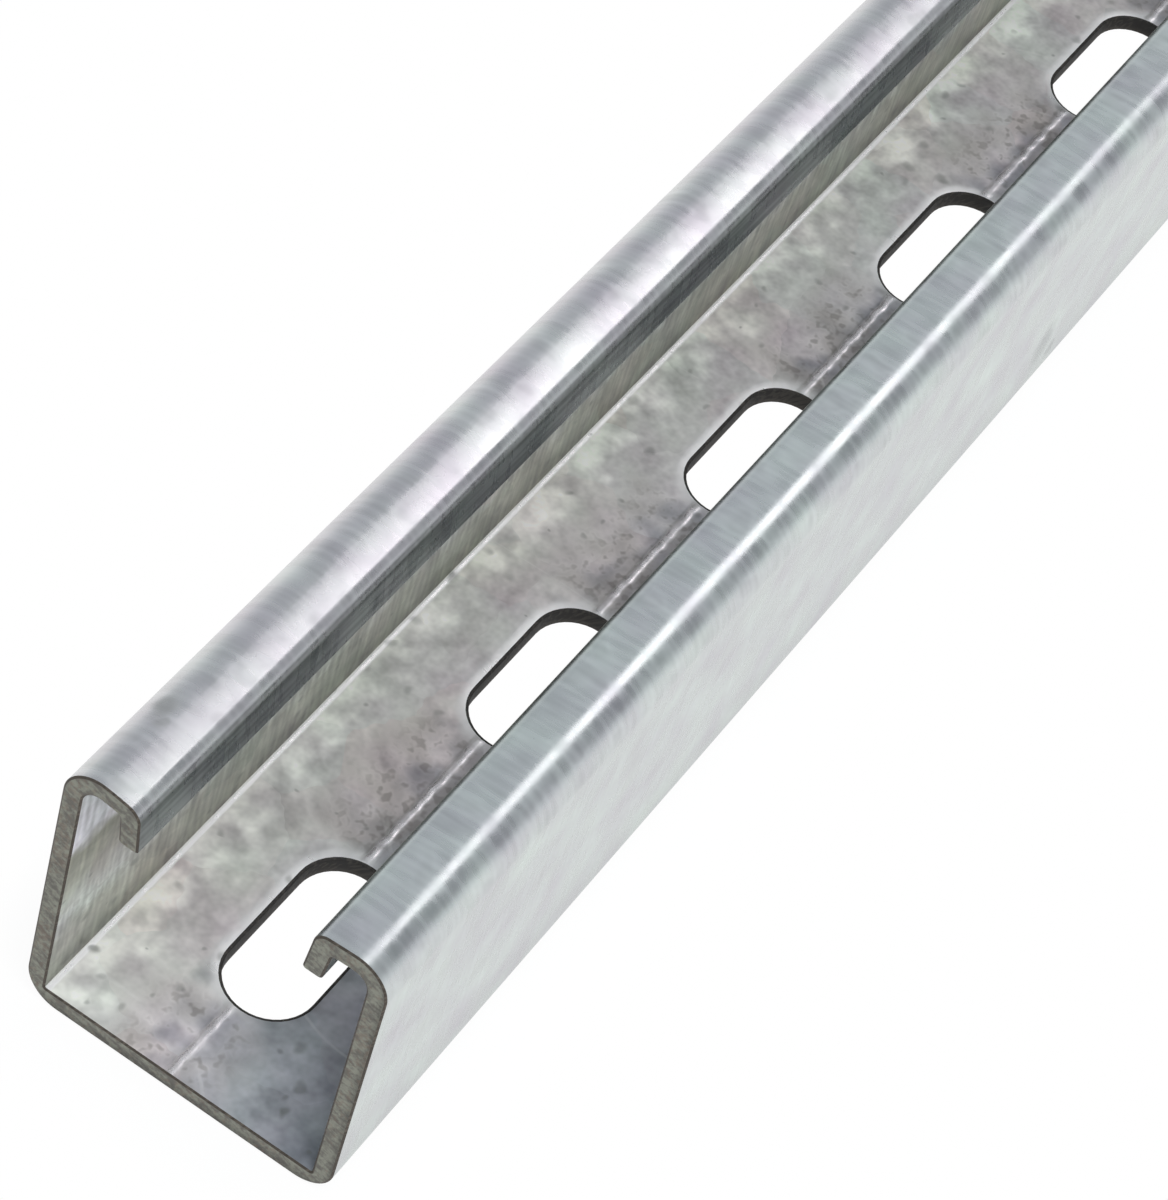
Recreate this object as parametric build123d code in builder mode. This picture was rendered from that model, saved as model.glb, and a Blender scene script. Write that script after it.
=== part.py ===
"""Slotted strut channel: one length of cold-rolled, galvanised steel section.

The channel lies on its slotted base with its open side up. +X runs along the
length, away from the cut end that is usually seen first, +Y is across it and
+Z is up. The origin is the middle of the underside. Sizes are in millimetres.
"""

import os

from build123d import *

# The section, measured over its outer faces
width = 41.3
height = 41.3
wall = 2.5
lip_width = 9.7
lip_depth = 7.1

# Bends of the rolled strip, as the radius inside the bend
base_bend = 2.0
top_bend = 2.0
lip_bend = 0.8
strip_edge_radius = 0.5

# The length of stock and the slots punched along its base
length = 1000.0
slot_length = 25.2
slot_width = 11.3
slot_pitch = 50.0
first_slot_from_end = 25.0
slot_rim_width = 0.8
slot_rim_depth = 0.3


def face_line(inset):
    """Corners and bend radii of the section's line, inset from its outer face.

    The line runs from one strip edge to the other: down the turned-in edge of
    the left lip, round the channel and down the edge of the right lip.
    """
    lip = width / 2 - lip_width + inset
    side = width / 2 - inset
    right_half = [
        (side, inset, base_bend),
        (side, height - inset, top_bend),
        (lip, height - inset, lip_bend),
    ]
    left_half = [(-across, up, bend) for across, up, bend in reversed(right_half)]
    bends = left_half + right_half
    strip_edge = height - lip_depth
    corners = [(across, up) for across, up, bend in bends]
    corners = [(-lip, strip_edge)] + corners + [(lip, strip_edge)]
    radii = [bend + wall - inset for across, up, bend in bends]
    return corners, radii


outer_corners, outer_radii = face_line(0)
inner_corners, inner_radii = face_line(wall)

slot_count = int((length - 2 * first_slot_from_end) / slot_pitch) + 1
slot_row_middle = -length / 2 + first_slot_from_end + (slot_count - 1) * slot_pitch / 2

with BuildPart() as strut_channel:
    # One strip bent into the channel, its two edges turned down inside
    with BuildSketch(Plane.YZ) as section:
        with BuildLine():
            outside = FilletPolyline(*outer_corners, radius=outer_radii)
            inside = FilletPolyline(*inner_corners, radius=inner_radii)
            Line(outside @ 0, inside @ 0)
            Line(outside @ 1, inside @ 1)
        make_face()
        strip_edges = section.vertices().filter_by_position(
            Axis.Y, height - lip_depth - wall / 10, height - lip_depth + wall / 10
        )
        fillet(strip_edges, radius=strip_edge_radius)
    extrude(amount=length / 2, both=True)

    # Slots punched through the base, with their rims pressed down on the punch's side
    with BuildSketch(Plane.XY):
        with Locations((slot_row_middle, 0)):
            with GridLocations(slot_pitch, 0, slot_count, 1):
                SlotOverall(slot_length, slot_width)
    extrude(amount=2 * wall, mode=Mode.SUBTRACT)
    base_top = strut_channel.faces().filter_by(Axis.Z).group_by(Axis.Z)[1][0]
    rims = [edge for rim in base_top.inner_wires() for edge in rim.edges()]
    chamfer(rims, length=slot_rim_width, length2=slot_rim_depth, reference=base_top)

strut_channel.part.label = "strut_channel"

os.makedirs("parts", exist_ok=True)
export_step(strut_channel.part, "parts/strut_channel.step")

print("slots:", slot_count)
print("volume mm3:", round(strut_channel.part.volume, 1))
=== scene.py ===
"""Looks of a slotted strut channel: one length of galvanised, cold-rolled section.

The channel lies on its slotted base with its open side up. +X runs along the
length from the cut end that is seen first, +Y is across it and +Z is up.
Shapes are in metres. Materials measure in millimetres.
"""

import logging
import math
from dataclasses import dataclass
from enum import Enum
from typing import ClassVar

import bmesh
import bpy
from mathutils import Matrix, Quaternion, Vector


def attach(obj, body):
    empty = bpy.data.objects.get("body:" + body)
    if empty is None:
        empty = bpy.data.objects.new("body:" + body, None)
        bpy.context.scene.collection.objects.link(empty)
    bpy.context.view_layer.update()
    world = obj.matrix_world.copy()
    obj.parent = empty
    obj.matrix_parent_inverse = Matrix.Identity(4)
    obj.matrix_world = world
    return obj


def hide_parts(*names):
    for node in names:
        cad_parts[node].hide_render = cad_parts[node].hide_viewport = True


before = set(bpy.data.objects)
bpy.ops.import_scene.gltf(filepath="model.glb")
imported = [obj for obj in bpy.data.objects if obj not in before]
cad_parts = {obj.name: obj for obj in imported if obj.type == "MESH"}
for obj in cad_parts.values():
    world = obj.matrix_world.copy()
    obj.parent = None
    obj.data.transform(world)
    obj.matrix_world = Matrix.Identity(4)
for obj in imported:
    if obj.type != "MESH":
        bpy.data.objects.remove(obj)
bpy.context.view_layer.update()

LOG = logging.getLogger("strut_channel")
MM = 0.001
WELD = 0.005 * MM
TOUCH = 0.01 * MM
HERE = Matrix.Identity(4)
NOISE_MIDDLE = 0.5

Socket = bpy.types.NodeSocket
Sockets = dict[str, Socket]
Feed = Socket | float | tuple
Feeds = dict[str | int, Feed]
Tone = tuple[float, float, float]
Span = tuple[float, float]
Stops = tuple[tuple[float, Tone], ...]


class Skin(Enum):
    """Material slots of the channel, in the order they are given to its mesh."""

    ZINC = 0
    SAWN = 1
    PUNCHED = 2
    ARRIS = 3


@dataclass(frozen=True)
class Bend:
    """A corner of the strip's face line, with the radius it is rolled to."""

    across: float
    up: float
    radius: float
    segments: int


@dataclass
class StrutChannel:
    """The channel's sheet metal, modelled over its real sizes in metres."""

    width: float = 41.3 * MM
    height: float = 41.3 * MM
    wall: float = 2.5 * MM
    lip_width: float = 9.7 * MM
    lip_depth: float = 7.1 * MM
    base_bend: float = 2.0 * MM
    inside_corner: float = 0.3 * MM
    top_bend: float = 2.0 * MM
    lip_bend: float = 0.4 * MM
    lip_nose: float = 1.7 * MM
    lip_cuts: int = 4
    lip_slopes: Span = (math.radians(6.0), math.radians(2.0))
    lip_droops: Span = (math.radians(7.0), math.radians(2.0))
    strip_edge: float = 0.5 * MM
    edge_lean: float = math.radians(6.0)
    length: float = 1.0
    slot_length: float = 25.2 * MM
    slot_width: float = 11.3 * MM
    slot_pitch: float = 50.0 * MM
    first_slot: float = 25.0 * MM
    slot_end_steps: int = 20
    pressed_width: float = 1.2 * MM
    pressed_depth: float = 0.1 * MM
    pressed_steps: tuple[float, ...] = (0.0, 0.15, 0.3, 0.5, 0.75, 1.0)
    torn_width: float = 0.4 * MM
    torn_depth: float = 0.16 * MM
    torn_steps: tuple[float, ...] = (0.3, 0.6, 0.85, 1.0)
    rim_curve: float = 1.5
    break_out: float = 0.15 * MM
    arris: float = 0.26 * MM
    arris_slant: float = 0.7

    def base_edge(self) -> float:
        """Return how far from the middle the flat of the base ends."""
        return self.width / 2 - self.wall - self.base_bend

    def rim(self) -> list[Span]:
        """Return the section of a slot's rim from the base in, as distance from the outline and height."""
        slopes = (
            (self.torn_width, self.pressed_width, self.wall, self.pressed_depth, self.pressed_steps),
            (0.0, self.torn_width, self.wall - self.pressed_depth, self.torn_depth, self.torn_steps),
        )
        section = []
        for inner, run, top, depth, steps in slopes:
            section += [(inner + run * (1 - share), top - depth * share**self.rim_curve) for share in steps]
        return section

    def bends(self) -> list[Bend]:
        """Return the corners of the +Y half of the section, from the base's top round to its underside."""
        side, inside = self.width / 2, self.width / 2 - self.wall
        lip = side - self.lip_width
        tip = self.height - self.lip_depth
        return [
            Bend(inside, self.wall, self.inside_corner, segments=8),
            Bend(inside, self.height - self.wall, self.top_bend, segments=8),
            Bend(lip + self.wall, self.height - self.wall, self.lip_bend, segments=5),
            Bend(lip + self.wall, tip, self.strip_edge, segments=3),
            Bend(lip, tip, self.strip_edge, segments=3),
            Bend(lip, self.height, self.lip_nose, segments=12),
            Bend(side, self.height, self.top_bend + self.wall, segments=14),
            Bend(side, 0.0, self.base_bend + self.wall, segments=14),
        ]

    def repeat(self, bm: bmesh.types.BMesh, geom: list, steps: int, apart: bool) -> None:
        """Carry a shape along the length, a slot's pitch at each step.

        Args:
            bm: The mesh under construction.
            geom: The shape at the start.
            steps: How many steps it is carried.
            apart: Whether each step leaves a copy of its own, and not a swept surface.
        """
        bmesh.ops.spin(
            bm,
            geom=geom,
            cent=(0, 0, 0),
            axis=(1, 0, 0),
            dvec=(self.slot_pitch, 0, 0),
            angle=0,
            space=HERE,
            steps=steps,
            use_merge=False,
            use_duplicate=apart,
        )

    def roll_side(self, bm: bmesh.types.BMesh) -> None:
        """Add the +Y wall and lip: the section's line, its bends rounded, drawn along the length.

        Args:
            bm: The mesh under construction.
        """
        start, near_top, shortest_flat = -self.length / 2, 0.9 * self.height, self.wall / 3
        corners = self.bends()
        line = [(bend.across, bend.up) for bend in corners]
        line = [(self.base_edge(), self.wall), *line, (self.base_edge(), 0.0)]
        verts = [bm.verts.new((start, y, z)) for y, z in line]
        for first, second in zip(verts, verts[1:]):
            bm.edges.new((first, second))
        for vert, bend in zip(verts[1:-1], corners):
            bmesh.ops.bevel(
                bm,
                geom=[vert],
                offset=bend.radius,
                offset_type="OFFSET",
                segments=bend.segments,
                profile=0.5,
                affect="VERTICES",
                material=-1,
            )
        bmesh.ops.remove_doubles(bm, verts=bm.verts, dist=WELD)
        flats = [e for e in bm.edges if (e.verts[0].co.z + e.verts[1].co.z) / 2 > near_top]
        flats = [e for e in flats if abs(e.verts[0].co.y - e.verts[1].co.y) > shortest_flat]
        bmesh.ops.subdivide_edges(bm, edges=flats, cuts=self.lip_cuts)
        self.repeat(bm, bm.verts[:] + bm.edges[:], round(self.length / self.slot_pitch), apart=False)

    def sink_lips(self, bm: bmesh.types.BMesh) -> None:
        """Slope both lips towards the mouth as the rolls leave them, the +Y one more and more as it goes.

        Args:
            bm: The mesh under construction.
        """
        hinge = self.width / 2 - self.top_bend - self.wall
        bend = self.width / 2 - self.lip_width + self.lip_nose
        fold = self.height - self.wall - self.lip_bend
        tip = self.height - self.lip_depth
        run = hinge - bend
        for vert in bm.verts:
            if vert.co.z > self.height / 2 and abs(vert.co.y) < hinge:
                side = 0 if vert.co.y > 0 else 1
                slope, droop = self.lip_slopes[side], self.lip_droops[side]
                out = hinge - abs(vert.co.y)
                if vert.co.z < fold:
                    lean = math.tan(self.edge_lean) * (fold - vert.co.z)
                    vert.co.y -= math.copysign(lean, vert.co.y)
                curved = min(out, run) ** 2 / (2 * run) + max(out - run, 0.0)
                share = max(0.0, min(1.0, (vert.co.z - tip) / (fold - tip)))
                vert.co.z -= (math.tan(slope) * out + math.tan(droop) * curved) * share

    def punch_slots(self, bm: bmesh.types.BMesh) -> None:
        """Add the walls and pressed rims of every slot, swept round one slot and then repeated.

        Args:
            bm: The mesh under construction.
        """
        radius = self.slot_width / 2
        straight = self.slot_length - self.slot_width
        middle = -self.length / 2 + self.first_slot
        profile = [(radius + out, up) for out, up in self.rim()]
        profile += [(radius, self.break_out), (radius + self.break_out, 0.0)]
        right = Vector((middle + straight / 2, 0, 0))
        left = Vector((middle - straight / 2, 0, 0))
        verts = [bm.verts.new((right.x, -r, z)) for r, z in profile]
        row = verts + [bm.edges.new(pair) for pair in zip(verts, verts[1:])]
        start = list(row)
        for centre, run in ((right, -straight), (left, straight)):
            turned = bmesh.ops.spin(
                bm,
                geom=row,
                cent=centre,
                axis=(0, 0, 1),
                dvec=(0, 0, 0),
                angle=math.pi,
                space=HERE,
                steps=self.slot_end_steps,
                use_merge=False,
                use_duplicate=False,
            )["geom_last"]
            edges = [g for g in turned if isinstance(g, bmesh.types.BMEdge)]
            row = bmesh.ops.extrude_edge_only(bm, edges=edges)["geom"]
            row = [g for g in row if not isinstance(g, bmesh.types.BMFace)]
            moved = [g for g in row if isinstance(g, bmesh.types.BMVert)]
            bmesh.ops.translate(bm, verts=moved, vec=(run, 0, 0), space=HERE)
        seam = [g for g in row + start if isinstance(g, bmesh.types.BMVert)]
        bmesh.ops.remove_doubles(bm, verts=seam, dist=TOUCH)
        slot = bm.verts[:] + bm.edges[:] + bm.faces[:]
        self.repeat(bm, slot, round(self.length / self.slot_pitch) - 1, apart=True)

    def lay_base(self, bm: bmesh.types.BMesh) -> None:
        """Fill the top and the underside of the base between its two bends and the slots.

        Args:
            bm: The mesh under construction.
        """
        edge, end = self.base_edge(), self.length / 2
        for level in (self.wall, 0.0):
            flat = [v for v in bm.verts if abs(v.co.z - level) < TOUCH and abs(v.co.y) < edge + TOUCH]
            for side in (-end, end):
                pair = [v for v in flat if abs(v.co.x - side) < TOUCH]
                bmesh.ops.contextual_create(bm, geom=pair)
            flat = set(flat)
            open_edges = [e for e in bm.edges if flat.issuperset(e.verts) and len(e.link_faces) < 2]
            bmesh.ops.triangle_fill(
                bm, use_beauty=True, use_dissolve=False, edges=open_edges, normal=(0, 0, 1)
            )

    def saw_ends(self, bm: bmesh.types.BMesh) -> None:
        """Close both ends with a sawn face whose arris is broken all round.

        Args:
            bm: The mesh under construction.
        """
        for sign in (-1, 1):
            end = sign * self.length / 2
            at_end = {v for v in bm.verts if abs(v.co.x - end) < TOUCH}
            loop = [e for e in bm.edges if e.is_boundary and at_end.issuperset(e.verts)]
            face = bmesh.ops.edgeloop_fill(bm, edges=loop, mat_nr=Skin.SAWN.value)["faces"]
            ring = bmesh.ops.inset_region(
                bm,
                faces=face,
                thickness=self.arris,
                depth=0,
                use_boundary=True,
                use_even_offset=True,
            )["faces"]
            flat = set(face[0].verts)
            outline = {v for f in ring for v in f.verts} - flat
            for part in ring:
                part.material_index = Skin.ARRIS.value
            back = -sign * self.arris_slant * self.arris
            bmesh.ops.translate(bm, verts=list(outline), vec=(back, 0, 0), space=HERE)
            bmesh.ops.triangulate(bm, faces=face, quad_method="BEAUTY", ngon_method="BEAUTY")

    def mesh(self) -> bpy.types.Mesh:
        """Return the finished mesh of the channel.

        Returns:
            The whole channel as one closed skin, with a Skin's value on each face.
        """
        side = bmesh.new()
        self.roll_side(side)
        whole = side.verts[:] + side.edges[:] + side.faces[:]
        bmesh.ops.mirror(side, geom=whole, axis="Y", merge_dist=-1, matrix=HERE)
        self.sink_lips(side)
        walls = bpy.data.meshes.new("channel_walls")
        side.to_mesh(walls)
        side.free()
        bm = bmesh.new()
        self.punch_slots(bm)
        for face in bm.faces:
            if face.calc_center_median().z < self.wall - self.pressed_depth:
                face.material_index = Skin.PUNCHED.value
        bm.from_mesh(walls)
        bpy.data.meshes.remove(walls)
        self.lay_base(bm)
        self.saw_ends(bm)
        bmesh.ops.remove_doubles(bm, verts=bm.verts, dist=WELD)
        bmesh.ops.recalc_face_normals(bm, faces=bm.faces)
        for face in bm.faces:
            face.smooth = True
        for part in bm.edges:
            part.smooth = len({f.material_index for f in part.link_faces}) < 2
        mesh = bpy.data.meshes.new("galvanised_channel")
        bm.to_mesh(mesh)
        bm.free()
        return mesh

    def build(self, skins: list[bpy.types.Material]) -> bpy.types.Object:
        """Return the channel as a finished piece that stands for the CAD node.

        Args:
            skins: One material for each Skin, in order.

        Returns:
            The piece, riding on the root body.
        """
        piece = bpy.data.objects.new("galvanised_channel", self.mesh())
        bpy.context.scene.collection.objects.link(piece)
        for skin in skins:
            piece.data.materials.append(skin)
        flats = piece.modifiers.new("flat_faces", "WEIGHTED_NORMAL")
        flats.mode = "FACE_AREA"
        flats.keep_sharp = True
        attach(piece, "root")
        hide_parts("strut_channel")
        return piece


@dataclass
class Recipe:
    """A node tree, with short calls for the nodes that the finishes are made of."""

    tree: bpy.types.NodeTree

    def feed(self, node: bpy.types.Node, feeds: Feeds) -> None:
        """Link or set the inputs of a node.

        Args:
            node: The node.
            feeds: A socket to link from, or a plain value, for each input by name or number.
        """
        for key, feed in feeds.items():
            if isinstance(feed, Socket):
                self.tree.links.new(feed, node.inputs[key])
            else:
                node.inputs[key].default_value = feed

    def node(self, kind: str, feeds: Feeds | None = None, **settings: object) -> bpy.types.Node:
        """Add a node, set it up and feed its inputs.

        Args:
            kind: The node's type, without its ShaderNode prefix.
            feeds: What its inputs are given.
            settings: The node's own properties.

        Returns:
            The new node.
        """
        made = self.tree.nodes.new("ShaderNode" + kind)
        for name, value in settings.items():
            setattr(made, name, value)
        self.feed(made, feeds or {})
        return made

    def effect(self, effect: "Effect", **feeds: Feed) -> Sockets:
        """Place an effect's group.

        Args:
            effect: The effect.
            feeds: What the group's inputs are given, by their names in small letters.

        Returns:
            The group's outputs by name.
        """
        made = self.node("Group", node_tree=effect.group())
        self.feed(made, {name.title(): feed for name, feed in feeds.items()})
        return {socket.name: socket for socket in made.outputs}

    def maths(self, operation: str, *feeds: Feed) -> Socket:
        """Return the result of a Math node on one to three feeds."""
        return self.node("Math", dict(enumerate(feeds)), operation=operation).outputs[0]

    def vectors(self, operation: str, *feeds: Feed) -> Socket:
        """Return the vector that a Vector Math node makes of its feeds."""
        return self.node("VectorMath", dict(enumerate(feeds)), operation=operation).outputs[0]

    def chain(self, operation: str, first: Feed, *others: Feed) -> Socket:
        """Return the result of an operation that takes up one feed after the other."""
        for other in others:
            first = self.maths(operation, first, other)
        return first

    def plus(self, *feeds: Feed) -> Socket:
        """Return the sum of all the feeds."""
        return self.chain("ADD", *feeds)

    def times(self, *feeds: Feed) -> Socket:
        """Return the product of all the feeds."""
        return self.chain("MULTIPLY", *feeds)

    def most(self, *feeds: Feed) -> Socket:
        """Return the greatest of all the feeds."""
        return self.chain("MAXIMUM", *feeds)

    def minus(self, first: Feed, second: Feed) -> Socket:
        """Return what is left of the first feed without the second."""
        return self.maths("SUBTRACT", first, second)

    def weighed(self, *pairs: tuple[Feed, Feed]) -> Socket:
        """Return the sum of feeds that each come with their share."""
        return self.plus(*(self.times(share, feed) for share, feed in pairs))

    def centred(self, noise: Feed) -> Socket:
        """Return a noise whose middle is moved to nought."""
        return self.minus(noise, NOISE_MIDDLE)

    def rest(self, mask: Feed) -> Socket:
        """Return the mask of all that another mask leaves."""
        return self.minus(1.0, mask)

    def slide(self, share: Feed, start: float, end: float) -> Socket:
        """Return start where the share is 0, end where it is 1, and an even slide between."""
        return self.plus(start, self.times(share, end - start))

    def fade(self, value: Feed, low: Feed, high: Feed, start: Feed = 0.0, end: Feed = 1.0) -> Socket:
        """Return a smooth step from start to end as value goes from low to high."""
        feeds = {"Value": value, "From Min": low, "From Max": high, "To Min": start, "To Max": end}
        return self.node("MapRange", feeds, interpolation_type="SMOOTHSTEP").outputs["Result"]

    def band(self, value: Feed, middle: float, inner: float, outer: float) -> Socket:
        """Return a mask that is 1 within inner of the middle and 0 beyond outer."""
        return self.fade(self.maths("ABSOLUTE", self.minus(value, middle)), inner, outer, 1.0, 0.0)

    def blend(self, share: Feed, first: Feed, second: Feed, kind: str = "MIX") -> Socket:
        """Return the blend of two colours, of which a plain one is given without its alpha."""
        first, second = ((*tone, 1) if isinstance(tone, tuple) else tone for tone in (first, second))
        return self.node("Mix", {0: share, 6: first, 7: second}, data_type="RGBA", blend_type=kind).outputs[2]

    def tones(self, value: Feed, stops: Stops) -> Socket:
        """Return the colour for a value.

        Args:
            value: The value.
            stops: The colours at some values, in rising order.

        Returns:
            The colour, eased between the stops.
        """
        low, high = stops[0][0], stops[-1][0]
        share = self.node("MapRange", {"Value": value, "From Min": low, "From Max": high}).outputs["Result"]
        made = self.node("ValToRGB", {0: share})
        made.color_ramp.interpolation = "EASE"
        marks = made.color_ramp.elements
        while len(marks) < len(stops):
            marks.new(0.5)
        for mark, stop in zip(marks, stops):
            mark.position = (stop[0] - low) / (high - low)
        for mark, stop in zip(marks, stops):
            mark.color = (*stop[1], 1)
        return made.outputs["Color"]

    def noise(
        self,
        place: Feed,
        scale: Feed,
        detail: float = 0.0,
        roughness: float = 0.5,
        stretch: Tone = (1.0, 1.0, 1.0),
        flat: bool = True,
    ) -> Socket:
        """Return cloudy noise about one half.

        Args:
            place: Where on the piece.
            scale: How many waves it has to the millimetre.
            detail: How many finer noises are laid over the first one.
            roughness: How strong those are.
            stretch: The scale axis by axis; the noise looks longer where it is smaller.
            flat: Whether the place's third part is left out.

        Returns:
            The noise.
        """
        scaled = self.vectors("MULTIPLY", place, stretch)
        feeds = {"Vector": scaled, "Scale": scale, "Detail": detail, "Roughness": roughness}
        return self.node("TexNoise", feeds, noise_dimensions="2D" if flat else "3D").outputs["Fac"]

    def cloud(self, place: Feed, scale: float) -> Socket:
        """Return a plain noise colour, for pushing places about."""
        feeds = {"Vector": place, "Scale": scale, "Detail": 0.0}
        return self.node("TexNoise", feeds, noise_dimensions="2D").outputs["Color"]

    def cells(self, place: Feed, size: Feed) -> bpy.types.NodeOutputs:
        """Return the outputs of a loose pattern of flat cells of about a size."""
        feeds = {"Vector": place, "Scale": self.maths("DIVIDE", 1.0, size)}
        return self.node("TexVoronoi", feeds, voronoi_dimensions="2D").outputs

    def push(self, place: Feed, cloud: Feed, reach: float) -> Socket:
        """Return the place pushed about by a noise colour, by up to half of reach each way."""
        about = self.vectors("MULTIPLY_ADD", cloud, (reach,) * 3, place)
        return self.vectors("SUBTRACT", about, (reach / 2,) * 3)

    def turned(self, place: Feed, angle: Feed) -> Socket:
        """Return the place turned about Z."""
        return self.node("VectorRotate", {"Vector": place, "Angle": angle}, rotation_type="Z_AXIS").outputs[0]

    def parts(self, vector: Feed) -> list[Socket]:
        """Return the three parts of a vector."""
        return list(self.node("SeparateXYZ", {0: vector}).outputs)

    def joined(self, *parts: Feed) -> Socket:
        """Return the vector that three parts make."""
        return self.node("CombineXYZ", dict(enumerate(parts))).outputs[0]

    def place(self) -> Socket:
        """Return the Object coordinates, in millimetres."""
        where = self.node("TexCoord").outputs["Object"]
        return self.node("Mapping", {"Vector": where, "Scale": (1 / MM,) * 3}).outputs[0]

    def unrolled(self, place: Feed) -> Socket:
        """Return the place on the strip as if it were nearly flat: along it, and round its section."""
        along, across, up = self.parts(place)
        return self.joined(along, self.plus(across, up), 0.0)

    def relief(self, height: Feed) -> Socket:
        """Return the normal of a surface that stands up by a height in millimetres."""
        return self.node("Bump", {"Height": height, "Strength": 1.0, "Distance": MM}).outputs[0]


class Effect:
    """An effect for the finishes, as one node group that is built when it is first wanted."""

    name: ClassVar[str]
    takes: ClassVar[dict[str, float]] = {}
    gives: ClassVar[tuple[str, ...]] = ("Mask",)

    def group(self) -> bpy.types.NodeTree:
        """Return the effect's group.

        Returns:
            The group, with a Place input in millimetres and the effect's own inputs and outputs.
        """
        made = bpy.data.node_groups.get(self.name)
        if made is None:
            made = bpy.data.node_groups.new(self.name, "ShaderNodeTree")
            made.interface.new_socket("Place", in_out="INPUT", socket_type="NodeSocketVector")
            for label, start in self.takes.items():
                socket = made.interface.new_socket(label, in_out="INPUT", socket_type="NodeSocketFloat")
                socket.default_value = start
            for label in self.gives:
                made.interface.new_socket(label, in_out="OUTPUT", socket_type="NodeSocketFloat")
            given = made.nodes.new("NodeGroupInput").outputs
            recipe = Recipe(made)
            recipe.feed(made.nodes.new("NodeGroupOutput"), self.fill(recipe, given["Place"], given))
        return made

    def fill(self, recipe: Recipe, place: Feed, given: bpy.types.NodeOutputs) -> Sockets:
        """Add the effect's nodes.

        Args:
            recipe: The group's tree.
            place: Where on the piece, in millimetres.
            given: The group's inputs.

        Returns:
            The socket for each output.
        """
        raise NotImplementedError


class Spangle(Effect):
    """Patches of zinc crystals, each with its own tint and its feathers grown one way."""

    name = "zinc_spangle"
    takes = {"Size": 11.0}
    gives = ("Shade", "Tint", "Feather")
    widest_turn: ClassVar[float] = 3.0 * math.pi

    def fill(self, recipe: Recipe, place: Feed, given: bpy.types.NodeOutputs) -> Sockets:
        """Add the nodes of the patches and of the feathers that grow across each one."""
        tint, turn, shade = recipe.parts(recipe.cells(place, given["Size"])["Color"])
        turned = recipe.turned(place, recipe.times(turn, self.widest_turn))
        feather = recipe.noise(turned, 1.0, detail=1.0, roughness=0.6, stretch=(0.12, 0.55, 1.0))
        return {"Shade": shade, "Tint": tint, "Feather": feather}


class RolledSkin(Effect):
    """Height of the skin: broad lumps and orange peel, the peel also as plain noise."""

    name = "rolled_skin"
    takes = {"Lump": 0.09, "Peel": 0.012}
    gives = ("Height", "Grain")

    def fill(self, recipe: Recipe, place: Feed, given: bpy.types.NodeOutputs) -> Sockets:
        """Add the nodes of the two kinds of unevenness and add them up."""
        lump = recipe.noise(place, 0.11, stretch=(0.5, 1.0, 1.0))
        peel = recipe.noise(place, 0.55, stretch=(1.0, 0.6, 1.0))
        height = recipe.weighed((given["Lump"], lump), (given["Peel"], peel))
        return {"Height": height, "Grain": recipe.centred(peel)}


class Specks(Effect):
    """Small uneven spots: pits, dross and dirt."""

    name = "specks"
    takes = {"Spacing": 5.0, "Size": 0.8, "Share": 0.45}
    least_size: ClassVar[float] = 0.3
    spot: ClassVar[Span] = (0.2, 1.2)

    def fill(self, recipe: Recipe, place: Feed, given: bpy.types.NodeOutputs) -> Sockets:
        """Add the nodes that put a spot of its own size in some of the cells of a loose pattern."""
        cell = recipe.cells(place, given["Spacing"])
        pick, size, _ = recipe.parts(cell["Color"])
        away = recipe.times(cell["Distance"], given["Spacing"])
        reach = recipe.times(given["Size"], recipe.plus(size, self.least_size))
        spot = recipe.fade(recipe.maths("DIVIDE", away, reach), *self.spot, 1.0, 0.0)
        return {"Mask": recipe.times(spot, recipe.maths("LESS_THAN", pick, given["Share"]))}


class Grime(Effect):
    """Dirt that clings in clouds and breaks up into soft grains."""

    name = "grime"
    takes = {"Level": 0.5, "Grain": 0.9}
    gives = ("Mask", "Haze", "Grains", "Cloud")
    grain_share: ClassVar[float] = 1.6
    mask_starts: ClassVar[float] = 0.76
    mask_spreads: ClassVar[float] = 0.42
    haze: ClassVar[Span] = (-0.16, 0.12)

    def fill(self, recipe: Recipe, place: Feed, given: bpy.types.NodeOutputs) -> Sockets:
        """Add the nodes of the clouds and of the grains in them."""
        cloud = recipe.noise(place, 0.12, detail=1.0, roughness=0.6)
        grain = recipe.noise(place, given["Grain"], detail=1.0, roughness=0.65)
        thick = recipe.plus(cloud, recipe.times(grain, self.grain_share))
        start = recipe.plus(given["Level"], self.mask_starts)
        mask = recipe.fade(thick, start, recipe.plus(start, self.mask_spreads))
        haze = recipe.fade(cloud, *(recipe.plus(given["Level"], end) for end in self.haze))
        return {"Mask": mask, "Haze": haze, "Grains": grain, "Cloud": cloud}


class HairLines(Effect):
    """Thin curved scratches, broken up along their run."""

    name = "hair_lines"
    takes = {"Scale": 0.05, "Width": 0.008}
    contour: ClassVar[float] = 0.52
    line: ClassVar[Span] = (0.3, 1.0)
    breaks: ClassVar[Span] = (0.5, 0.64)

    def fill(self, recipe: Recipe, place: Feed, given: bpy.types.NodeOutputs) -> Sockets:
        """Add the nodes that follow the contour of a slow noise where a second one lets them."""
        slow = recipe.noise(place, given["Scale"], stretch=(1.0, 0.55, 1.0))
        away = recipe.maths("ABSOLUTE", recipe.minus(slow, self.contour))
        line = recipe.fade(recipe.maths("DIVIDE", away, given["Width"]), *self.line, 1.0, 0.0)
        return {"Mask": recipe.times(line, recipe.fade(recipe.noise(place, 0.12), *self.breaks))}


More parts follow.
